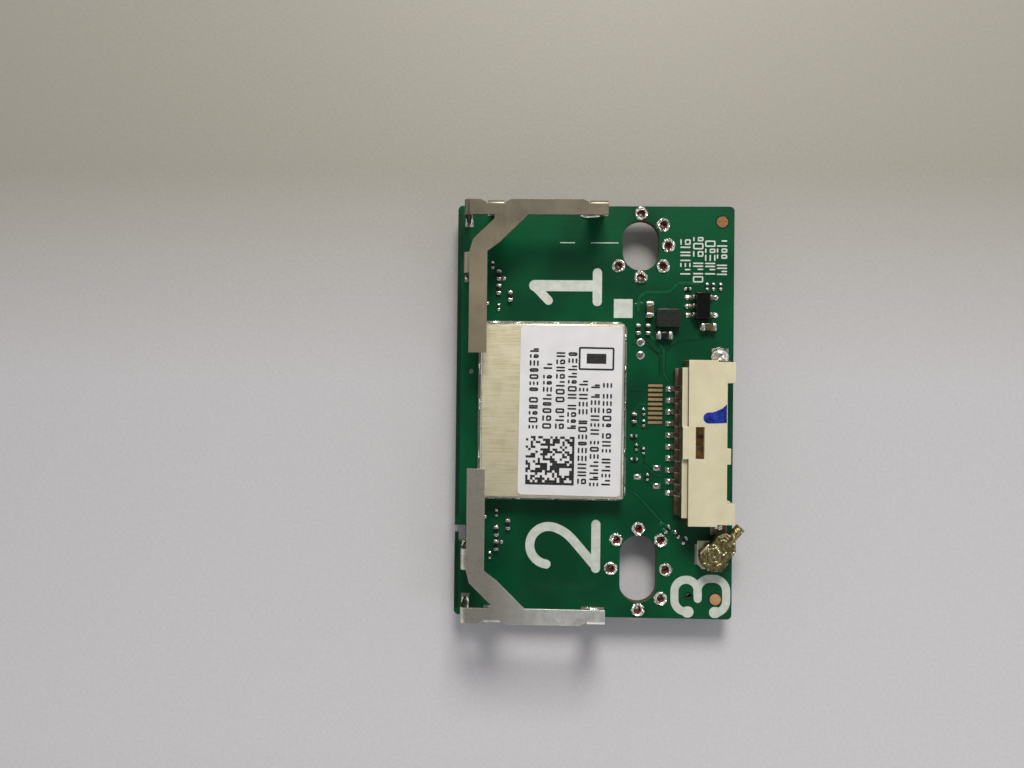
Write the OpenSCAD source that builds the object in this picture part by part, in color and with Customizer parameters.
// Wireless network module: a green circuit board that carries a soldered shield can with a
// paper label, two stamped sheet antennas, a ten-way side-entry connector and a coaxial plug.
// The origin is the centre of the board's underside, +X runs towards the connector, +Y along
// the board and +Z up from the parts side.

/* [Board] */
// Thickness of the circuit board
board_t = 1.2; // [0.8:0.1:2]
// Radius of the board's corners
board_corner_r = 0.5; // [0.2:0.1:1.2]
// Board between its left edge and the shield can, where the antennas stand
antenna_zone_w = 2.75; // [2.5:0.05:5]
// Board between the shield can and the connector's solder tails
parts_zone_w = 4.8; // [4.4:0.05:9]
// Board beyond the connector's ears
ear_edge_gap = 0.55; // [0:0.05:2]
// Board above the shield can
upper_zone_l = 12.95; // [12.5:0.05:18]
// Board below the shield can
lower_zone_l = 12.95; // [12.5:0.05:18]
// Width of the notch in the left edge, along the edge
notch_l = 1.75; // [1:0.05:2.4]
// Depth of the notch in the left edge
notch_d = 1.2; // [0.5:0.05:1.5]
// Height of the notch's centre above the board's lower edge
notch_rise = 8.85; // [8.4:0.05:9.6]
// Diameter of the drilled tooling holes
tooling_hole_d = 0.6; // [0.3:0.05:0.9]

/* [Retention slots] */
// Width of both slots
slot_w = 4; // [3:0.1:4.6]
// Overall length of the upper slot
upper_slot_l = 5.5; // [4.7:0.1:6]
// Overall length of the lower slot
lower_slot_l = 7.3; // [4.7:0.1:8]
// Distance from the board's upper edge to the upper slot's centre
upper_slot_inset = 4.25; // [4:0.05:6]
// Distance from the board's lower edge to the lower slot's centre
lower_slot_inset = 5.25; // [5:0.05:6]
// Distance from the shield can's right wall to the slots' centre line
slot_offset = 1.8; // [1.2:0.05:2]

/* [Plated holes round the slots] */
// Diameter of each hole
via_hole_d = 0.7; // [0.3:0.05:0.8]
// Diameter of the tinned land round each hole
via_land_d = 1.35; // [1:0.05:1.4]
// Wall of the plating in each hole
via_wall_t = 0.05; // [0.03:0.01:0.1]
// Distance from a slot's side to the holes beside it
via_side_gap = 0.95; // [0.75:0.05:1.2]
// Distance from a slot's end to the hole beyond it
via_end_gap = 0.72; // [0.71:0.01:0.8]
// Distance from a slot's round end to its corner holes
via_corner_gap = 0.83; // [0.75:0.01:1]
// Direction of the corner holes from the centre of a slot's round end, in degrees
via_corner_angle = 32; // [25:1:45]

/* [Clearances] */
// Gap round every piece that sits in a hole or channel
fit_gap = 0.02; // [0.01:0.01:0.05]

/* [Copper and solder] */
// Thickness of every tinned, gilt or bare copper land
land_t = 0.04; // [0.02:0.01:0.08]
// Diameter of the bare copper sighting marks
fiducial_d = 1.2; // [0.8:0.1:1.6]
// Length of each gilt test finger
finger_l = 1.55; // [1:0.05:1.8]
// Width of each gilt test finger
finger_w = 0.28; // [0.2:0.01:0.35]
// Pitch of the gilt test fingers
finger_pitch = 0.5; // [0.45:0.01:0.6]
// Number of gilt test fingers
finger_count = 9; // [3:1:9]
// Diameter of the round test lands
test_land_d = 0.9; // [0.5:0.05:1.1]
// Width of the tinned land that shows outside the shield can
shield_land_rim = 0.35; // [0.2:0.05:0.5]
// Width of the solder fillets at the shield can's foot
shield_fillet_w = 0.28; // [0.15:0.01:0.34]
// Height of the solder fillets at the shield can's foot
shield_fillet_h = 0.5; // [0.2:0.05:1]

/* [Shield can] */
// Width of the shield can, across the board
can_w = 15.4; // [14:0.05:18]
// Length of the shield can, along the board
can_l = 18.7; // [17:0.1:24]
// Height of the shield can above the board
can_h = 2.3; // [1.6:0.05:2.9]
// Thickness of the can's sheet metal
can_t = 0.2; // [0.1:0.05:0.3]
// Outer radius of the can's drawn upper edges
can_edge_r = 0.35; // [0.31:0.01:0.45]
// Outer radius of the can's upright corners
can_corner_r = 0.6; // [0.4:0.05:1]
// Height of the gaps between the can's soldered feet
can_vent_h = 0.22; // [0.1:0.01:0.4]
// Length of each soldered foot along the can's rim
can_foot_l = 1.25; // [0.8:0.05:1.4]

/* [Label] */
// Width of the paper label on the can
label_w = 10.8; // [9:0.05:12]
// Length of the paper label on the can
label_l = 17.9; // [14:0.1:18]
// Thickness of the label
label_t = 0.08; // [0.05:0.01:0.15]
// Radius of the label's corners
label_corner_r = 0.9; // [0.3:0.1:2]
// Distance from the can's right wall to the label
label_side_gap = 0.4; // [0.36:0.01:2]
// Distance from the can's upper wall to the label
label_end_gap = 0.38; // [0.36:0.01:0.6]

/* [Antennas] */
// Height of the antenna sheets' top face above the board
antenna_h = 5; // [4:0.1:8]
// Thickness of the antenna sheet
sheet_t = 0.25; // [0.15:0.05:0.35]
// Outer radius of the bends at the side legs
bend_r = 0.6; // [0.5:0.05:0.7]
// Outer radius of the bends at the end legs
end_bend_r = 0.4; // [0.35:0.05:0.6]
// Distance from the board's left edge to the side legs' outer face
side_leg_inset = 1.1; // [1:0.05:1.4]
// Distance from the board's end to the antenna arm's outer edge
arm_inset = 0.4; // [0.35:0.05:0.6]
// Width of the antenna arm along the board's end
arm_w = 1.62; // [1.5:0.01:1.8]
// Overall length of the antenna arm along the board's end
arm_l = 14.9; // [12:0.1:18]
// Distance that the end legs stand back from the arm's outer edge
end_leg_setback = 0.1; // [0.05:0.05:0.5]
// Width of the slits beside each end leg
relief_w = 0.15; // [0.1:0.01:0.3]
// Width of the bevels that open each slit towards the arm's outer edge
relief_bevel_w = 0.6; // [0.2:0.05:0.7]
// Depth of those bevels
relief_bevel_d = 0.3; // [0.1:0.05:0.35]
// Width of the antenna strip beside the shield can
strip_w = 1.85; // [1.6:0.05:2.2]
// Distance from the arm's outer edge to the strip's free end
strip_reach = 15.9; // [14:0.1:17]
// Distance from the arm's outer edge to the strip's shoulder
shoulder_reach = 5.4; // [5.2:0.05:5.8]
// Distance from the strip's inner edge to the foot of the slanted web on the arm
web_reach = 4.2; // [4:0.05:5]
// Width of the web where it meets the arm
web_w = 3.5; // [2.5:0.05:3.7]
// Width of the end leg near the corner
inner_leg_w = 1.7; // [1.2:0.05:2]
// Distance from the antenna's flat left edge to the end leg near the corner
inner_leg_reach = 1.85; // [1.7:0.05:2.2]
// Width of the end leg at the arm's free end
outer_leg_w = 1.85; // [1.2:0.05:2.2]
// Width of the side leg at the strip
strip_leg_w = 2.15; // [1.5:0.05:2.4]
// Distance from the strip's shoulder down to its side leg
strip_leg_drop = 0.1; // [0:0.05:0.6]
// Margin of the soldering lands round the antenna legs
leg_land_margin = 0.32; // [0.2:0.02:0.4]
// Width of the solder fillets at the antenna legs
leg_fillet_w = 0.26; // [0.15:0.01:0.3]
// Height of the solder fillets at the antenna legs
leg_fillet_h = 0.45; // [0.2:0.05:0.8]
// Distance that the solder fillets are shorter than the legs are wide, at each end
leg_fillet_inset = 0.1; // [0:0.05:0.3]

/* [Connector housing] */
// Distance from the shield can's centre down to the connector's centre
connector_drop = 3.15; // [1:0.05:3.4]
// Overall height of the housing
housing_h = 3.6; // [3.2:0.1:5]
// Depth of the housing's main block
housing_d = 4; // [3.4:0.1:6]
// Thickness of the housing's side walls
side_wall_t = 2.37; // [1.5:0.05:3]
// Distance that the ears reach beyond the main block
ear_d = 0.85; // [0.5:0.05:2]
// Depth of the part of each side wall that takes a solder nail
ear_seat_d = 0.95; // [0.6:0.05:1.5]
// Depth of the lower step behind the main block
rear_step_d = 0.6; // [0.5:0.05:1.2]
// Height of the lower step behind the main block
rear_step_h = 3.1; // [2.4:0.1:3.1]
// Depth of the comb between the solder tails
comb_d = 0.4; // [0.2:0.05:0.8]
// Height of the comb between the solder tails
comb_h = 0.8; // [0.4:0.1:2]
// Distance that the rear step is shorter than the main block, at each end
rear_end_gap = 0.78; // [0.4:0.05:1.2]
// Thickness of the housing's roof
roof_t = 0.6; // [0.4:0.05:0.8]
// Thickness of the housing's floor
floor_t = 0.6; // [0.4:0.05:0.8]
// Thickness of the wall behind the mating cavity
back_wall_t = 0.75; // [0.5:0.05:1]
// Lead-in chamfer round the mating cavity's mouth
mouth_chamfer = 0.2; // [0:0.05:0.3]
// Depth of the lock window in the roof
lock_d = 0.9; // [0.5:0.05:1.4]
// Length of the lock window in the roof
lock_l = 3.35; // [2:0.05:4]
// Length of the lip that stands out from the roof
lip_l = 1.65; // [1:0.05:2.5]
// Distance that the lip stands out from the roof
lip_d = 0.4; // [0.2:0.05:0.8]
// Distance from the connector's centre down to the lip's centre
lip_drop = 1.35; // [0:0.05:3]
// Depth of the guide grooves in the cavity's side walls
groove_d = 0.35; // [0.2:0.05:0.6]
// Height of the guide grooves in the cavity's side walls
groove_h = 0.8; // [0.4:0.05:1.2]

/* [Connector contacts] */
// Number of contacts
contact_count = 10; // [4:1:12]
// Pitch of the contacts
contact_pitch = 1.25; // [1.2:0.01:1.5]
// Width of each contact
contact_w = 0.4; // [0.25:0.05:0.5]
// Thickness of each contact
contact_t = 0.2; // [0.15:0.05:0.3]
// Distance from the end contacts to the cavity's side walls
row_end_gap = 0.65; // [0.5:0.05:1.5]
// Length of each solder tail behind the housing
tail_reach = 0.65; // [0.3:0.05:1]
// Height of the pins' centre above the board
pin_rise = 1.85; // [1.5:0.05:2.1]
// Distance from the contacts' upright parts to the housing's main block
riser_setback = 0.15; // [0.05:0.05:0.3]
// Distance that the pins' tips lie inside the mouth
pin_setback = 0.6; // [0.3:0.05:1.5]
// Distance that the solder nails lie inside their seats, at each end
nail_end_gap = 0.2; // [0.05:0.05:0.4]
// Thickness of the solder nails
nail_t = 0.2; // [0.15:0.05:0.3]
// Height of the solder nails on the side walls
nail_h = 2.1; // [1:0.1:2.6]
// Length of the solder nails' feet
nail_foot_l = 1.2; // [0.8:0.05:1.4]
// Margin of the soldering lands round the connector's feet
foot_margin = 0.2; // [0.1:0.05:0.25]

/* [Coaxial connector] */
// Distance from the board's right edge to the coaxial connector's centre
coax_inset = 2.25; // [2.1:0.05:4]
// Distance from the connector housing to the coaxial connector's centre
coax_drop = 3.55; // [3.55:0.05:4.5]
// Side of the receptacle's moulded base
coax_base_w = 3; // [2.6:0.05:3.1]
// Thickness of the receptacle's moulded base
coax_base_t = 0.35; // [0.25:0.05:0.5]
// Bevel at the two lower corners of the receptacle's base
coax_base_bevel = 0.5; // [0.2:0.05:0.8]
// Distance that the soldering lands reach beyond the receptacle's base
coax_land_reach = 0.25; // [0.1:0.05:0.3]
// Width of the ground lands under the receptacle
coax_land_w = 0.95; // [0.6:0.05:1]
// Length of the ground lands under the receptacle
coax_land_l = 2.2; // [1.5:0.05:2.6]
// Width of the signal land under the receptacle
signal_land_w = 0.8; // [0.5:0.05:0.9]
// Length of the signal land under the receptacle
signal_land_l = 0.6; // [0.4:0.05:0.8]
// Outer diameter of the receptacle's ring
coax_ring_d = 2; // [1.8:0.05:2.1]
// Wall of the receptacle's ring
coax_ring_t = 0.2; // [0.15:0.05:0.25]
// Height of the receptacle's ring above its base
coax_ring_h = 0.85; // [0.6:0.05:1]
// Diameter of the receptacle's centre pin
coax_pin_d = 0.5; // [0.35:0.05:0.6]
// Outer diameter of the plug's round head
plug_d = 2.95; // [2.75:0.05:3.1]
// Wall of the plug's round skirt
plug_wall_t = 0.3; // [0.2:0.05:0.35]
// Thickness of the plug's top plate
plug_top_t = 0.25; // [0.15:0.05:0.4]
// Distance from the receptacle's base up to the plug's skirt
plug_lift = 0.15; // [0.05:0.05:0.3]
// Gap between the receptacle's ring and the plug's insulator above it
plug_seat_gap = 0.05; // [0.02:0.01:0.15]
// Length of the side plates beside the plug's round head
side_plate_l = 1.35; // [0.8:0.05:1.6]
// Thickness of the side plates
side_plate_t = 0.16; // [0.1:0.02:0.2]
// Distance that the side plates stand above the plug's top
side_plate_rise = 0.1; // [0.05:0.01:0.2]
// Width of the slits in the plug's skirt
plug_slit_w = 0.3; // [0.2:0.05:0.5]
// Thickness of the plug's insulator
insulator_t = 0.3; // [0.2:0.05:0.4]
// Distance from the plug's round head to its crimp
cheek_l = 0.25; // [0.15:0.05:0.4]
// Width of the crimp's shoulder
shoulder_w = 2.5; // [1.6:0.05:2.7]
// Distance from the plug's centre to the end of the crimp's shoulder
shoulder_l = 2.85; // [2.2:0.05:3.2]
// Length over which the shoulder narrows to the barrel
shoulder_taper_l = 0.75; // [0.5:0.05:0.9]
// Distance that the shoulder's top lies below the barrel's top
shoulder_step = 0.15; // [0.05:0.05:0.4]
// Width of the waist between the crimp's two wraps
waist_w = 0.25; // [0.1:0.05:0.4]
// Depth of the waist between the crimp's two wraps
waist_d = 0.25; // [0.1:0.05:0.35]
// Distance that the barrel's bore runs into the shoulder
bore_run_in = 0.4; // [0.1:0.05:0.6]
// Outer diameter of the crimp barrel
barrel_d = 1.1; // [0.95:0.05:1.4]
// Bore of the crimp barrel
barrel_bore_d = 0.7; // [0.5:0.05:0.85]
// Distance from the plug's centre to the end of the crimp barrel
barrel_l = 4.25; // [3.8:0.05:4.6]
// Direction of the crimp barrel from the plug's centre, in degrees
barrel_angle = 48; // [20:1:50]

/* [Power parts] */
// Size of the power inductor across the board
inductor_w = 2.6; // [2:0.05:2.7]
// Size of the power inductor along the board
inductor_l = 1.95; // [1.6:0.05:2.3]
// Height of the power inductor
inductor_h = 1; // [0.6:0.05:1.5]
// Bevel at the inductor's corners
inductor_bevel = 0.2; // [0.05:0.05:0.4]
// Distance that the inductor's terminals are shorter than its side, at each end
terminal_inset = 0.2; // [0.05:0.05:0.4]
// Width of each of the inductor's terminals
inductor_end_w = 0.7; // [0.4:0.05:0.9]
// Width of the converter chip's body
converter_w = 1.65; // [1.5:0.05:1.8]
// Length of the converter chip's body
converter_l = 3; // [2.7:0.05:3.1]
// Height of the converter chip's body
converter_h = 1.1; // [0.8:0.05:1.4]
// Draft of the converter chip's sides
converter_draft = 0.12; // [0.05:0.01:0.2]
// Gap under the converter chip's body
converter_lift = 0.1; // [0.05:0.05:0.2]
// Span over the tips of the converter chip's leads
lead_span = 3.05; // [2.8:0.05:3.2]
// Pitch of the converter chip's leads
lead_pitch = 0.95; // [0.8:0.05:1]
// Width of each lead
lead_w = 0.4; // [0.3:0.05:0.5]
// Thickness of each lead
lead_t = 0.15; // [0.1:0.01:0.2]
// Length of each lead's foot
lead_foot_l = 0.4; // [0.3:0.05:0.45]

/* [Chip parts] */
// Length of the large chip parts
large_chip_l = 1.6; // [1.4:0.05:1.7]
// Width of the large chip parts
large_chip_w = 0.8; // [0.7:0.05:0.9]
// Height of the large chip parts
large_chip_h = 0.8; // [0.5:0.05:1]
// Length of the small chip parts
small_chip_l = 1; // [0.9:0.05:1.1]
// Width of the small chip parts
small_chip_w = 0.5; // [0.4:0.05:0.6]
// Height of the small chip parts
small_chip_h = 0.5; // [0.3:0.05:0.6]
// Length of the tiny chip parts
tiny_chip_l = 0.6; // [0.55:0.01:0.65]
// Width of the tiny chip parts
tiny_chip_w = 0.3; // [0.25:0.01:0.35]
// Height of the tiny chip parts
tiny_chip_h = 0.3; // [0.2:0.01:0.35]
// Length of a chip part's tinned end, as a share of the part's length
chip_end_share = 0.24; // [0.15:0.01:0.3]
// Distance that the chip part's body lies inside its tinned ends
chip_end_wall = 0.02; // [0.01:0.01:0.04]
// Distance that each chip part's land reaches beyond its end
chip_land_reach = 0.12; // [0.05:0.01:0.16]

/* [Parts under the shield can] */
// Distance from the can's centre to the radio chip's centre, across the board
radio_shift = 1.2; // [0:0.1:2]
// Distance from the can's centre down to the radio chip's centre
radio_drop = 2; // [1:0.1:3]
// Side of the radio chip
radio_w = 9; // [6:0.1:9.5]
// Height of the radio chip
radio_h = 0.85; // [0.6:0.05:1.2]
// Distance from the can's left wall to the amplifiers' centres
amplifier_inset = 2.3; // [1.8:0.05:2.6]
// Distance from the can's centre to each amplifier's centre, along the board
amplifier_spread = 6.3; // [5:0.1:7]
// Side of each antenna amplifier
amplifier_w = 2.5; // [2:0.1:2.8]
// Height of each antenna amplifier
amplifier_h = 0.75; // [0.5:0.05:1]
// Distance from the can's right wall to the crystal's centre
crystal_side_gap = 4.7; // [2:0.1:6]
// Distance from the can's upper wall to the crystal's centre
crystal_end_gap = 3.2; // [2:0.1:4]
// Length of the crystal's can
crystal_l = 2.5; // [2:0.1:3.2]
// Width of the crystal's can
crystal_w = 2; // [1.6:0.1:2.4]
// Height of the crystal's can
crystal_h = 0.5; // [0.4:0.05:0.8]

/* [Hidden] */

$fn = 48;
// Overlap of cutting tools beyond the faces that they cut
cut = 0.1;

// Edges of the board and of what stands on it
row_l = contact_pitch * (contact_count - 1);
cavity_l = row_l + 2 * row_end_gap;
housing_l = cavity_l + 2 * side_wall_t;
connector_d = tail_reach + comb_d + rear_step_d + housing_d + ear_d;
board_w = antenna_zone_w + can_w + parts_zone_w + connector_d + ear_edge_gap;
board_l = lower_zone_l + can_l + upper_zone_l;
left = -board_w / 2;
right = board_w / 2;
upper = board_l / 2;
lower = -board_l / 2;

can_left = left + antenna_zone_w;
can_right = can_left + can_w;
can_lower = lower + lower_zone_l;
can_upper = can_lower + can_l;
can_centre = [(can_left + can_right) / 2, (can_lower + can_upper) / 2];

tail_x = can_right + parts_zone_w;
comb_x = tail_x + tail_reach;
step_x = comb_x + comb_d;
block_x = step_x + rear_step_d;
front_x = block_x + housing_d;
ear_x = front_x + ear_d;
// The contacts' upright parts stand in the rear step
riser_x = block_x - contact_t - riser_setback;
connector_y = can_centre[1] - connector_drop;
housing_upper = connector_y + housing_l / 2;
housing_lower = connector_y - housing_l / 2;

nail_l = ear_seat_d + ear_d - 2 * nail_end_gap;

slot_x = can_right + slot_offset;
upper_slot_y = upper - upper_slot_inset;
lower_slot_y = lower + lower_slot_inset;
via_corner_r = slot_w / 2 + via_corner_gap;
coax_centre = [right - coax_inset, housing_lower - coax_drop];

// The top of the board, and of the lands on it
top = board_t;
seat = board_t + land_t;

// Signs of the places round a slot that have a plated hole
upper_via_signs = [[0, 1], [1, 1], [1, 0], [1, -1], [0, -1], [-1, -1]];
lower_via_signs = [[0, 1], [1, 1], [-1, 1], [1, 0], [-1, 0], [1, -1], [0, -1]];

// Feet of the shield can along each side, as shares of half the side
end_feet = [-0.82, -0.49, 0.05, 0.56, 0.88];
side_feet = [-0.88, -0.5, 0.06, 0.48, 0.85];

// Places of the bare marks, from the board's right edge and its upper or lower edge
upper_mark = [right - 1.3, upper - 1.67];
lower_mark = [right - 1.75, lower + 2.13];
tooling_holes = [[right - 4.6, lower + 2.5], [left + 1.55, can_centre[1] + 4.2]];

// Chip parts beside the converter, as [x, y, turn] from the corner between the housing's
// upper end and the board's right edge
power_corner = [right, housing_upper];
capacitor_places = [[-9.1, 5.55, 90], [-2.8, 3.67, 0]];
bead_places = [[-7.5, 2.72, 0]];
power_small_places = [[-10.3, 3.42, 90], [-9.25, 3.42, 90]];
power_tiny_places = [[-2.93, 8.09, 90], [-2.24, 8.09, 90], [-1.47, 8.09, 90], [-4.99, 7.81, 0]];
converter_place = [-3.5, 5.95];
inductor_place = [-7.15, 4.6];
test_land_places = [[-10, 2], [-10, 0.6]];

// Chip parts between the can and the contacts, from the can's right wall and the row's centre
gap_corner = [can_right, connector_y];
gap_small_places = [[1.2, 2.48, 90]];
gap_tiny_places = [
    [2.22, 3.13, 90], [2.22, 1.89, 90], [1.2, 0.5, 0], [1.47, -0.72, 90],
    [2.25, -1.1, 90], [1.25, -2, 0], [2.68, -3.92, 90]
];
finger_place = [3.47, 3.98];
spare_places = [[3.71, -2.94], [1.63, -3.92], [3.71, -4.89]];
spare_land = [0.8, 0.6];

// Matching parts of the upper antenna, from the board's upper left corner; the lower ones mirror them
antenna_small_places = [[4.55, -7.62, 90], [4.55, -9.16, 90], [5.8, -9.9, 90]];
antenna_tiny_places = [[3.85, -6.52, 90], [4.55, -11.1, 90]];
antenna_spare_places = [[5.1, -7.95], [3.3, -10.65]];
antenna_spare_land = [0.35, 0.4];

// Matching parts on the way from the can to the coaxial connector, from that connector's centre
coax_tiny_places = [[-4.7, 2.68, 53], [-3.7, 2.13, -48], [-2.85, 1.5, 55]];

// Derived sizes of the antennas, with the origin at the board's upper left corner
strip_x0 = side_leg_inset + bend_r;
strip_x1 = strip_x0 + strip_w;
arm_x1 = side_leg_inset + arm_l;
arm_y0 = -arm_inset;
arm_y1 = arm_y0 - arm_w;
strip_y1 = arm_y0 - strip_reach;
shoulder_y = arm_y0 - shoulder_reach;
end_leg_y = arm_y0 - end_leg_setback;
inner_leg_x = strip_x0 + inner_leg_reach;
outer_leg_x = arm_x1 - outer_leg_w;
strip_leg_y = shoulder_y - strip_leg_drop - strip_leg_w;
// Knees of the web's two edges, from the strip's shoulder, and the step at the arm
inner_knee = [1.3, 0.95];
outer_knee = [0.35, 1.25];
web_step = 0.4;

// Derived sizes of the plug, as heights above the board's top
plug_z0 = land_t + coax_base_t + plug_lift;
ring_top = land_t + coax_base_t + coax_ring_h;
plug_inner_z = ring_top + plug_seat_gap;
plug_z1 = plug_inner_z + insulator_t + plug_top_t;
barrel_z = plug_z1 - barrel_d / 2;
crimp_x = plug_d / 2 + cheek_l;

// ---------------------------------------------------------------- shared shapes

// A rectangle from one corner, with round corners
module round_rect(w, l, r) {
    translate([r, 0]) square([w - 2 * r, l]);
    translate([0, r]) square([w, l - 2 * r]);
    for (x = [r, w - r], y = [r, l - r])
        translate([x, y]) circle(r = r);
}

// A slot outline with full round ends, centred, along Y
module obround(w, l) {
    square([w, l - w], center = true);
    for (s = [-1, 1])
        translate([0, s * (l - w) / 2]) circle(d = w);
}

// A box centred in X and Y that stands on a height
module plate(size, z) {
    translate([-size[0] / 2, -size[1] / 2, z]) cube(size);
}

// The children at each [x, y, turn] from a corner
module at_places(corner, places) {
    for (p = places)
        translate([corner[0] + p[0], corner[1] + p[1], 0])
            rotate([0, 0, len(p) > 2 ? p[2] : 0])
                children();
}

// The children as they are and mirrored to the board's lower half
module both_antennas() {
    children();
    mirror([0, 1, 0]) children();
}

// A plated hole's place round a slot of a length, from the signs of its place
function via_point(s, l) =
    s[0] == 0 ? [0, s[1] * (l / 2 + via_end_gap)] :
    s[1] == 0 ? [s[0] * (slot_w / 2 + via_side_gap), 0] :
    [
        s[0] * via_corner_r * cos(via_corner_angle),
        s[1] * ((l - slot_w) / 2 + via_corner_r * sin(via_corner_angle))
    ];

// The children at each plated hole round both slots
module at_upper_vias() {
    for (s = upper_via_signs)
        translate([slot_x, upper_slot_y, 0] + concat(via_point(s, upper_slot_l), [0]))
            children();
}

module at_lower_vias() {
    for (s = lower_via_signs)
        translate([slot_x, lower_slot_y, 0] + concat(via_point(s, lower_slot_l), [0]))
            children();
}

// ---------------------------------------------------------------- board

module board_outline() {
    difference() {
        translate([left, lower]) round_rect(board_w, board_l, board_corner_r);
        translate([left - cut, lower + notch_rise - notch_l / 2])
            square([notch_d + cut, notch_l]);
        translate([slot_x, upper_slot_y]) obround(slot_w, upper_slot_l);
        translate([slot_x, lower_slot_y]) obround(slot_w, lower_slot_l);
    }
}

module pcb() {
    color("#1b5a3c")
    difference() {
        linear_extrude(board_t) board_outline();
        at_upper_vias() translate([0, 0, -cut]) cylinder(d = via_hole_d, h = board_t + 2 * cut);
        at_lower_vias() translate([0, 0, -cut]) cylinder(d = via_hole_d, h = board_t + 2 * cut);
        for (p = tooling_holes)
            translate([p[0], p[1], -cut]) cylinder(d = tooling_hole_d, h = board_t + 2 * cut);
    }
}

// The plating of one hole: a lining with a land on top
module via() {
    lining_d = via_hole_d - 2 * fit_gap;
    difference() {
        union() {
            cylinder(d = lining_d, h = board_t);
            translate([0, 0, board_t]) cylinder(d = via_land_d, h = land_t);
        }
        translate([0, 0, -cut]) cylinder(d = lining_d - 2 * via_wall_t, h = board_t + 2 * cut);
    }
}

module slot_vias_upper() {
    color("#b9b7ad") at_upper_vias() via();
}

module slot_vias_lower() {
    color("#b9b7ad") at_lower_vias() via();
}

module fiducials() {
    color("#c98a55")
    for (p = [upper_mark, lower_mark])
        translate([p[0], p[1], top]) cylinder(d = fiducial_d, h = land_t);
}

module test_fingers() {
    color("#b08d4a")
    for (i = [0 : finger_count - 1])
        translate([gap_corner[0] + finger_place[0],
                   gap_corner[1] + finger_place[1] + (i - (finger_count - 1) / 2) * finger_pitch, 0])
            plate([finger_l, finger_w, land_t], top);
}

module test_lands() {
    color("#c4c2b8")
    at_places(power_corner, test_land_places)
        translate([0, 0, top]) cylinder(d = test_land_d, h = land_t);
}

// Lands of parts that are not fitted
module spare_lands() {
    color("#c4c2b8") {
        at_places(gap_corner, spare_places) plate([spare_land[0], spare_land[1], land_t], top);
        both_antennas()
            at_places([left, upper], antenna_spare_places)
                plate([antenna_spare_land[0], antenna_spare_land[1], land_t], top);
    }
}

// ---------------------------------------------------------------- shield can

// The solid outline of the can, drawn in by a distance on every face but the open one
module can_form(inset) {
    r = can_edge_r - inset;
    w = can_w - 2 * inset;
    l = can_l - 2 * inset;
    h = can_h - inset;
    translate([can_left + inset, can_lower + inset, top])
    intersection() {
        linear_extrude(h) round_rect(w, l, can_corner_r - inset);
        translate([0, l, 0]) rotate([90, 0, 0]) linear_extrude(l) edge_profile(w, h, r);
        rotate([90, 0, 90]) linear_extrude(w) edge_profile(l, h, r);
    }
}

// A rectangle on its base with two round upper corners
module edge_profile(w, h, r) {
    square([w, h - r]);
    translate([r, 0]) square([w - 2 * r, h]);
    for (x = [r, w - r])
        translate([x, h - r]) circle(r = r);
}

// The children at each foot of the can, with +X out of the wall
module at_feet() {
    for (f = end_feet, s = [-1, 1])
        translate([can_centre[0] + f * can_w / 2, can_centre[1] + s * can_l / 2, top])
            rotate([0, 0, s * 90]) children();
    for (f = side_feet, s = [-1, 1])
        translate([can_centre[0] + s * can_w / 2, can_centre[1] + f * can_l / 2, top])
            rotate([0, 0, s > 0 ? 0 : 180]) children();
}

module shield_can() {
    color("#c9c4ae")
    difference() {
        can_form(0);
        translate([0, 0, -cut]) can_form(can_t);
        // The rim stands clear of its land except at the feet
        difference() {
            translate([can_left - cut, can_lower - cut, top - cut])
                cube([can_w + 2 * cut, can_l + 2 * cut, can_vent_h + cut]);
            at_feet() plate([4 * can_t, can_foot_l, can_vent_h + 2 * cut], -2 * cut);
        }
        // The feet stand on the land
        translate([can_left - cut, can_lower - cut, top - cut])
            cube([can_w + 2 * cut, can_l + 2 * cut, land_t + cut]);
    }
}

module shield_land() {
    rim = shield_land_rim;
    inner = can_t + rim;
    color("#c4c2b8")
    translate([can_left, can_lower, top])
    linear_extrude(land_t)
    difference() {
        translate([-rim, -rim]) round_rect(can_w + 2 * rim, can_l + 2 * rim, can_corner_r + rim);
        translate([inner, inner]) square([can_w - 2 * inner, can_l - 2 * inner]);
    }
}

// A fillet with a straight slope, with its upright face at X = 0, along Y
module fillet(w, h, l) {
    translate([0, l / 2, 0]) rotate([90, 0, 0]) linear_extrude(l) polygon([[0, 0], [w, 0], [0, h]]);
}

module shield_solder() {
    color("#d2d2cc")
    at_feet() translate([0, 0, land_t]) fillet(shield_fillet_w, shield_fillet_h, can_foot_l);
}

module shield_label() {
    color("#eeeeea")
    translate([can_right - label_side_gap - label_w, can_upper - label_end_gap - label_l, top + can_h])
    linear_extrude(label_t)
        round_rect(label_w, label_l, label_corner_r);
}

// ---------------------------------------------------------------- parts under the can

module radio_chip() {
    color("#26272a")
    translate([can_centre[0] + radio_shift, can_centre[1] - radio_drop, 0])
        plate([radio_w, radio_w, radio_h], top);
}

module amplifiers() {
    color("#2c2d30")
    for (s = [-1, 1])
        translate([can_left + amplifier_inset, can_centre[1] + s * amplifier_spread, 0])
            plate([amplifier_w, amplifier_w, amplifier_h], top);
}

module crystal() {
    color("#b8b7b0")
    translate([can_right - crystal_side_gap, can_upper - crystal_end_gap, 0])
        plate([crystal_l, crystal_w, crystal_h], top);
}

// ---------------------------------------------------------------- antennas

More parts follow.
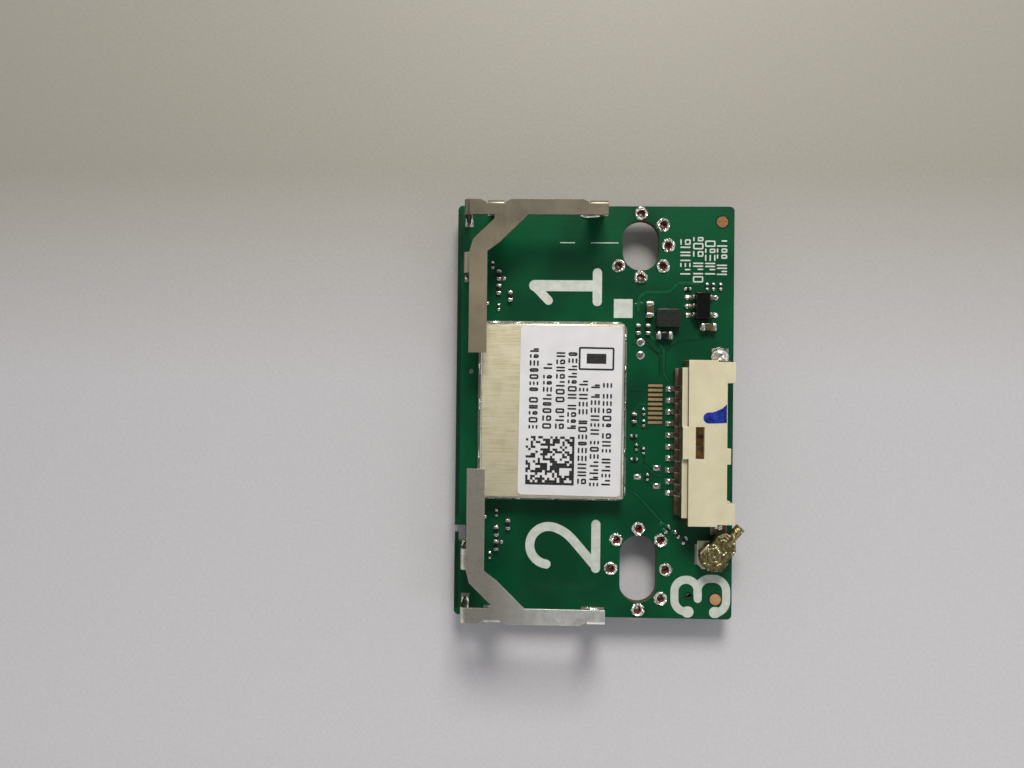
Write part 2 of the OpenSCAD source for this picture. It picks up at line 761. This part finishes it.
// Outline of the flat sheet of the upper antenna
module antenna_outline() {
    difference() {
        union() {
            translate([strip_x0, arm_y1]) square([arm_x1 - strip_x0, arm_w]);
            translate([strip_x0, strip_y1]) square([strip_w, shoulder_y - strip_y1]);
            polygon([
                [strip_x0, shoulder_y],
                [strip_x1, shoulder_y],
                [strip_x1 + inner_knee[0], shoulder_y + inner_knee[1]],
                [strip_x1 + web_reach, arm_y1],
                [strip_x1 + web_reach - web_w, arm_y1],
                [strip_x1 + web_reach - web_w, arm_y1 - web_step],
                [strip_x0 + outer_knee[0], shoulder_y + outer_knee[1]]
            ]);
        }
        // The sheet ends where the end legs bend down, with a slit beside each leg
        leg_seat(inner_leg_x - relief_w, inner_leg_w + 2 * relief_w);
        leg_seat(outer_leg_x - relief_w, outer_leg_w + relief_w + cut);
    }
}

// The opening where an end leg bends down, bevelled open towards the arm's outer edge
module leg_seat(x, w) {
    d = end_leg_setback + end_bend_r;
    h = d - relief_bevel_d;
    b = relief_bevel_w;
    translate([x, arm_y0 - d])
        polygon([[0, 0], [w, 0], [w, h], [w + b, d], [w + b, d + cut], [-b, d + cut], [-b, d], [0, h]]);
}

// A leg with its bend: the sheet comes in at X = -r and the leg's outer face is at X = 0
module leg(w, r) {
    h = antenna_h - land_t;
    translate([0, w, seat]) rotate([90, 0, 0]) linear_extrude(w) {
        translate([-sheet_t, 0]) square([sheet_t, h - r]);
        translate([-r, h - r])
        difference() {
            intersection() {
                circle(r = r);
                square(r);
            }
            circle(r = r - sheet_t);
        }
    }
}

// The children at each leg of the upper antenna, with its outer face at X = 0 and +X outwards
module at_legs() {
    translate([inner_leg_x + inner_leg_w, end_leg_y, 0]) rotate([0, 0, 90]) children(0);
    translate([arm_x1, end_leg_y, 0]) rotate([0, 0, 90]) children(1);
    translate([side_leg_inset, arm_y0, 0]) rotate([0, 0, 180]) children(2);
    translate([side_leg_inset, strip_leg_y + strip_leg_w, 0]) rotate([0, 0, 180]) children(3);
}

module antenna() {
    translate([left, upper, 0]) {
        translate([0, 0, top + antenna_h - sheet_t]) linear_extrude(sheet_t) antenna_outline();
        at_legs() {
            leg(inner_leg_w, end_bend_r);
            leg(outer_leg_w, end_bend_r);
            leg(arm_w, bend_r);
            leg(strip_leg_w, bend_r);
        }
    }
}

module antenna_upper() {
    color("#8f8b7c") antenna();
}

module antenna_lower() {
    color("#8f8b7c") mirror([0, 1, 0]) antenna();
}

module leg_land(w) {
    m = leg_land_margin;
    translate([-sheet_t - m, -m, top]) cube([sheet_t + 2 * m, w + 2 * m, land_t]);
}

module leg_solder(w) {
    l = w - 2 * leg_fillet_inset;
    translate([0, w / 2, seat]) {
        fillet(leg_fillet_w, leg_fillet_h, l);
        translate([-sheet_t, 0, 0]) rotate([0, 0, 180]) fillet(leg_fillet_w, leg_fillet_h, l);
    }
}

module antenna_lands() {
    color("#a3a097")
    both_antennas() translate([left, upper, 0]) at_legs() {
        leg_land(inner_leg_w);
        leg_land(outer_leg_w);
        leg_land(arm_w);
        leg_land(strip_leg_w);
    }
}

module antenna_solder() {
    color("#d2d2cc")
    both_antennas() translate([left, upper, 0]) at_legs() {
        leg_solder(inner_leg_w);
        leg_solder(outer_leg_w);
        leg_solder(arm_w);
        leg_solder(strip_leg_w);
    }
}

// ---------------------------------------------------------------- connector

// The children at each contact of the row
module at_contacts() {
    for (i = [0 : contact_count - 1])
        translate([0, connector_y + i * contact_pitch - row_l / 2, 0])
            children();
}

module housing_blocks() {
    rear_l = housing_l - 2 * rear_end_gap;
    seat_x = front_x - ear_seat_d;
    // Main block, with its side walls drawn in where they take the solder nails
    translate([block_x, housing_lower, top]) cube([seat_x - block_x, housing_l, housing_h]);
    translate([seat_x, housing_lower + nail_t, top])
        cube([front_x - seat_x, housing_l - 2 * nail_t, housing_h]);
    // Ears
    for (y = [housing_lower + nail_t, connector_y + cavity_l / 2])
        translate([front_x, y, top]) cube([ear_d, side_wall_t - nail_t, housing_h]);
    // Lower step behind, and the comb that parts the solder tails
    translate([step_x, connector_y - rear_l / 2, top]) cube([rear_step_d, rear_l, rear_step_h]);
    translate([comb_x, connector_y - rear_l / 2, top]) cube([comb_d, rear_l, comb_h]);
    // Bridge behind the lock window, level with the roof
    translate([step_x, connector_y - lock_l / 2, top]) cube([rear_step_d, lock_l, housing_h]);
    // Lip in front of the roof
    translate([front_x, connector_y - lip_drop - lip_l / 2, top + housing_h - roof_t])
        cube([lip_d, lip_l, roof_t]);
}

// The mating cavity, with its lead-in, guide grooves and lock window
module housing_cavity() {
    x0 = block_x + back_wall_t;
    z0 = top + floor_t;
    z1 = top + housing_h - roof_t;
    c = mouth_chamfer;
    translate([0, connector_y + cavity_l / 2, 0]) rotate([90, 0, 0]) linear_extrude(cavity_l)
        polygon([[x0, z0], [front_x - c, z0], [front_x, z0 - c], [ear_x + cut, z0 - c],
                 [ear_x + cut, z1 + c], [front_x, z1 + c], [front_x - c, z1], [x0, z1]]);
    translate([x0, connector_y - cavity_l / 2 - groove_d, (z0 + z1 - groove_h) / 2])
        cube([ear_x + cut - x0, cavity_l + 2 * groove_d, groove_h]);
    translate([x0, connector_y - lock_l / 2, z1 - cut]) cube([lock_d, lock_l, roof_t + 2 * cut]);
}

module connector_housing() {
    g = fit_gap;
    w = contact_w + 2 * g;
    pin_z = top + pin_rise;
    color("#d8cfb2")
    difference() {
        housing_blocks();
        difference() {
            housing_cavity();
            // The lip stays whole over the cavity's mouth
            translate([front_x - cut, connector_y - lip_drop - lip_l / 2, top + housing_h - roof_t])
                cube([lip_d + 2 * cut, lip_l, roof_t]);
        }
        at_contacts() {
            translate([comb_x - cut, -w / 2, top - cut])
                cube([riser_x + contact_t + g - comb_x + cut, w, pin_rise + contact_t / 2 + g + cut]);
            translate([riser_x, -w / 2, pin_z - contact_t / 2 - g])
                cube([block_x + back_wall_t + cut - riser_x, w, contact_t + 2 * g]);
        }
    }
}

// One contact, from its solder tail up and forward into the cavity
module contact() {
    t = contact_t;
    pin_z = top + pin_rise;
    x0 = tail_x;
    x1 = riser_x;
    x2 = front_x - pin_setback;
    z0 = seat;
    z1 = pin_z - t / 2;
    translate([0, contact_w / 2, 0]) rotate([90, 0, 0]) linear_extrude(contact_w)
        polygon([[x0, z0], [x1 + t, z0], [x1 + t, z1], [x2 - t, z1], [x2, z1 + t / 4],
                 [x2, z1 + 3 * t / 4], [x2 - t, z1 + t], [x1, z1 + t], [x1, z0 + t], [x0, z0 + t]]);
}

module connector_contacts() {
    color("#c9c6ba") at_contacts() contact();
}

// The children at both solder nails, with +X out of the side wall
module at_nails() {
    x = front_x + (ear_d - ear_seat_d) / 2;
    translate([x, housing_upper - nail_t, 0]) rotate([0, 0, 90]) children();
    translate([x, housing_lower + nail_t, 0]) rotate([0, 0, -90]) children();
}

module connector_nails() {
    l = nail_l;
    color("#c9c6ba")
    at_nails() {
        translate([0, -l / 2, seat]) cube([nail_t, l, nail_h]);
        translate([nail_t, -l / 2, seat]) cube([nail_foot_l, l, nail_t]);
    }
}

module connector_lands() {
    m = foot_margin;
    l = nail_l;
    color("#c4c2b8") {
        at_contacts()
            translate([tail_x - m, -contact_w / 2 - m / 2, top])
                cube([tail_reach + m, contact_w + m, land_t]);
        at_nails()
            translate([nail_t, -l / 2 - m, top]) cube([nail_foot_l + m, l + 2 * m, land_t]);
    }
}

// ---------------------------------------------------------------- coaxial connector

module at_coax() {
    translate([coax_centre[0], coax_centre[1], 0]) children();
}

module coax_lands() {
    color("#c4c2b8")
    at_coax() {
        for (s = [-1, 1])
            translate([s * (coax_base_w / 2 + coax_land_reach - coax_land_w / 2), 0, 0])
                plate([coax_land_w, coax_land_l, land_t], top);
        translate([0, -coax_base_w / 2 - coax_land_reach + signal_land_l / 2, 0])
            plate([signal_land_w, signal_land_l, land_t], top);
    }
}

module coax_base() {
    bevel = coax_base_bevel;
    w = coax_base_w / 2;
    color("#d9d6c8")
    at_coax() translate([0, 0, seat]) linear_extrude(coax_base_t)
        polygon([[-w, w], [-w, bevel - w], [bevel - w, -w], [w - bevel, -w], [w, bevel - w], [w, w]]);
}

module coax_ring() {
    color("#b9a467")
    at_coax() translate([0, 0, seat + coax_base_t])
    difference() {
        cylinder(d = coax_ring_d, h = coax_ring_h);
        translate([0, 0, -cut]) cylinder(d = coax_ring_d - 2 * coax_ring_t, h = coax_ring_h + 2 * cut);
    }
}

module coax_pin() {
    color("#b9a467")
    at_coax() translate([0, 0, seat + coax_base_t]) cylinder(d = coax_pin_d, h = coax_ring_h);
}

// The plug's frame, with +X along its barrel
module at_plug() {
    at_coax() translate([0, 0, top]) rotate([0, 0, barrel_angle]) children();
}

module plug_shell() {
    inner_d = plug_d - 2 * plug_wall_t;
    color("#a8946a")
    at_plug()
    difference() {
        union() {
            translate([0, 0, plug_z0]) cylinder(d = plug_d, h = plug_z1 - plug_z0);
            // Side plates beside the head
            for (s = [-1, 1])
                translate([0, s * (plug_d - side_plate_t) / 2, 0])
                    plate([side_plate_l, side_plate_t, plug_z1 + side_plate_rise - plug_z0], plug_z0);
            // Flat cheeks that lead from the round head to the crimp
            translate([0, -shoulder_w / 2, barrel_z - barrel_d / 2])
                cube([crimp_x, shoulder_w, barrel_d]);
        }
        translate([0, 0, plug_z0 - cut]) cylinder(d = inner_d, h = plug_z1 - plug_top_t - plug_z0 + cut);
        // Spring slits in the skirt
        for (a = [90, 180, 270])
            rotate([0, 0, a]) translate([0, -plug_slit_w / 2, plug_z0 - cut])
                cube([plug_d, plug_slit_w, (plug_z1 - plug_z0) / 2 + cut]);
    }
}

module plug_insulator() {
    d = plug_d - 2 * plug_wall_t - 2 * fit_gap;
    color("#e9e6dc")
    at_plug() translate([0, 0, plug_inner_z]) cylinder(d = d, h = insulator_t);
}

// The crimp's shoulder, which narrows to the barrel
module shoulder_outline() {
    w = shoulder_w / 2;
    b = barrel_d / 2 - shoulder_step;
    x = shoulder_l - shoulder_taper_l;
    polygon([[crimp_x, -w], [x, -w], [shoulder_l, -b], [shoulder_l, b], [x, w], [crimp_x, w]]);
}

module plug_crimp() {
    color("#a8946a")
    at_plug()
    difference() {
        union() {
            translate([0, 0, barrel_z - barrel_d / 2]) linear_extrude(barrel_d - shoulder_step)
                shoulder_outline();
            translate([crimp_x, 0, barrel_z]) rotate([0, 90, 0])
                cylinder(d = barrel_d, h = barrel_l - crimp_x);
        }
        translate([shoulder_l - bore_run_in, 0, barrel_z]) rotate([0, 90, 0])
            cylinder(d = barrel_bore_d, h = barrel_l - shoulder_l + bore_run_in + cut);
        // Waist between the two crimped wraps
        for (s = [-1, 1])
            translate([(crimp_x + shoulder_l) / 2, s * shoulder_w / 2, barrel_z])
                plate([waist_w, 2 * waist_d, 2 * barrel_d], -barrel_d);
    }
}

// ---------------------------------------------------------------- power parts

module power_inductor() {
    bevel = inductor_bevel;
    color("#2f3133")
    at_places(power_corner, [inductor_place])
    translate([-inductor_w / 2, -inductor_l / 2, seat + land_t])
    linear_extrude(inductor_h - land_t)
        polygon([
            [bevel, 0], [inductor_w - bevel, 0],
            [inductor_w, bevel], [inductor_w, inductor_l - bevel],
            [inductor_w - bevel, inductor_l], [bevel, inductor_l],
            [0, inductor_l - bevel], [0, bevel]
        ]);
}

module inductor_terminals() {
    color("#c4c2b8")
    at_places(power_corner, [inductor_place])
    for (s = [-1, 1])
        translate([s * (inductor_w - inductor_end_w) / 2, 0, 0])
            plate([inductor_end_w, inductor_l - 2 * terminal_inset, 2 * land_t], top);
}

// A block with drafted sides, widest at half its height
module drafted_block(w, l, h, d) {
    intersection() {
        translate([0, l / 2, 0]) rotate([90, 0, 0]) linear_extrude(l) draft_profile(w, h, d);
        translate([-w / 2, 0, 0]) rotate([90, 0, 90]) linear_extrude(w) draft_profile(l, h, d);
    }
}

module draft_profile(w, h, d) {
    polygon([
        [d - w / 2, 0], [w / 2 - d, 0], [w / 2, h / 2],
        [w / 2 - d, h], [d - w / 2, h], [-w / 2, h / 2]
    ]);
}

module converter_chip() {
    color("#33363a")
    at_places(power_corner, [converter_place])
        translate([0, 0, seat + converter_lift])
            drafted_block(converter_w, converter_l, converter_h, converter_draft);
}

// One bent lead on the +X side, its foot on the land and its root in the body's side
module lead() {
    t = lead_t;
    x0 = converter_w / 2;
    x3 = lead_span / 2;
    x2 = x3 - lead_foot_l;
    z1 = seat + converter_lift + converter_h / 2;
    translate([0, lead_w / 2, 0]) rotate([90, 0, 0]) linear_extrude(lead_w)
        polygon([[x0, z1 - t / 2], [x2 - t, z1 - t / 2], [x2, seat], [x3, seat], [x3, seat + t],
                 [x2 + t / 2, seat + t], [x2 - t / 2, z1 + t / 2], [x0, z1 + t / 2]]);
}

module converter_leads() {
    color("#c9c6ba")
    at_places(power_corner, [converter_place]) {
        for (i = [-1, 1]) translate([0, i * lead_pitch, 0]) lead();
        for (i = [-1, 0, 1]) translate([0, i * lead_pitch, 0]) mirror([1, 0, 0]) lead();
    }
}

// ---------------------------------------------------------------- chip parts

module at_large_capacitors() {
    at_places(power_corner, capacitor_places) children();
}

module at_bead() {
    at_places(power_corner, bead_places) children();
}

module at_small_chips() {
    at_places(power_corner, power_small_places) children();
    at_places(gap_corner, gap_small_places) children();
    both_antennas() at_places([left, upper], antenna_small_places) children();
}

module at_tiny_chips() {
    at_places(power_corner, power_tiny_places) children();
    at_places(gap_corner, gap_tiny_places) children();
    at_places(coax_centre, coax_tiny_places) children();
    both_antennas() at_places([left, upper], antenna_tiny_places) children();
}

module chip_body(l, w, h) {
    s = chip_end_wall;
    plate([l * (1 - 2 * chip_end_share), w - 2 * s, h - s], seat);
}

module chip_ends(l, w, h) {
    e = l * chip_end_share;
    for (s = [-1, 1])
        translate([s * (l - e) / 2, 0, 0]) plate([e, w, h], seat);
}

module chip_land(l, w) {
    e = l * chip_end_share + chip_land_reach;
    for (s = [-1, 1])
        translate([s * (l / 2 - e / 2 + chip_land_reach), 0, 0]) plate([e, w, land_t], top);
}

module bead_body() {
    color("#3a3a3a") at_bead() chip_body(large_chip_l, large_chip_w, large_chip_h);
}

module capacitor_bodies() {
    color("#6b5a40") at_large_capacitors() chip_body(large_chip_l, large_chip_w, large_chip_h);
}

module large_chip_ends() {
    color("#c9c6ba") {
        at_large_capacitors() chip_ends(large_chip_l, large_chip_w, large_chip_h);
        at_bead() chip_ends(large_chip_l, large_chip_w, large_chip_h);
    }
}

module small_chip_bodies() {
    color("#4d4436") at_small_chips() chip_body(small_chip_l, small_chip_w, small_chip_h);
}

module small_chip_ends() {
    color("#c9c6ba") at_small_chips() chip_ends(small_chip_l, small_chip_w, small_chip_h);
}

module tiny_chip_bodies() {
    color("#4d4436") at_tiny_chips() chip_body(tiny_chip_l, tiny_chip_w, tiny_chip_h);
}

module tiny_chip_ends() {
    color("#c9c6ba") at_tiny_chips() chip_ends(tiny_chip_l, tiny_chip_w, tiny_chip_h);
}

module chip_lands() {
    color("#c4c2b8") {
        at_large_capacitors() chip_land(large_chip_l, large_chip_w);
        at_bead() chip_land(large_chip_l, large_chip_w);
        at_small_chips() chip_land(small_chip_l, small_chip_w);
        at_tiny_chips() chip_land(tiny_chip_l, tiny_chip_w);
        // Lands of the converter chip
        at_places(power_corner, [converter_place]) {
            for (i = [-1, 1])
                translate([lead_span / 2 - lead_foot_l / 2, i * lead_pitch, 0])
                    plate([lead_foot_l + 2 * chip_land_reach, lead_w + chip_land_reach, land_t], top);
            for (i = [-1, 0, 1])
                translate([lead_foot_l / 2 - lead_span / 2, i * lead_pitch, 0])
                    plate([lead_foot_l + 2 * chip_land_reach, lead_w + chip_land_reach, land_t], top);
        }
    }
}

// ---------------------------------------------------------------- the module

pcb();
slot_vias_upper();
slot_vias_lower();
fiducials();
test_fingers();
test_lands();
spare_lands();
antenna_lands();
shield_land();
chip_lands();
connector_lands();
coax_lands();
shield_can();
shield_solder();
shield_label();
radio_chip();
amplifiers();
crystal();
antenna_upper();
antenna_lower();
antenna_solder();
connector_housing();
connector_contacts();
connector_nails();
coax_base();
coax_ring();
coax_pin();
plug_shell();
plug_insulator();
plug_crimp();
power_inductor();
inductor_terminals();
converter_chip();
converter_leads();
bead_body();
capacitor_bodies();
large_chip_ends();
small_chip_bodies();
small_chip_ends();
tiny_chip_bodies();
tiny_chip_ends();
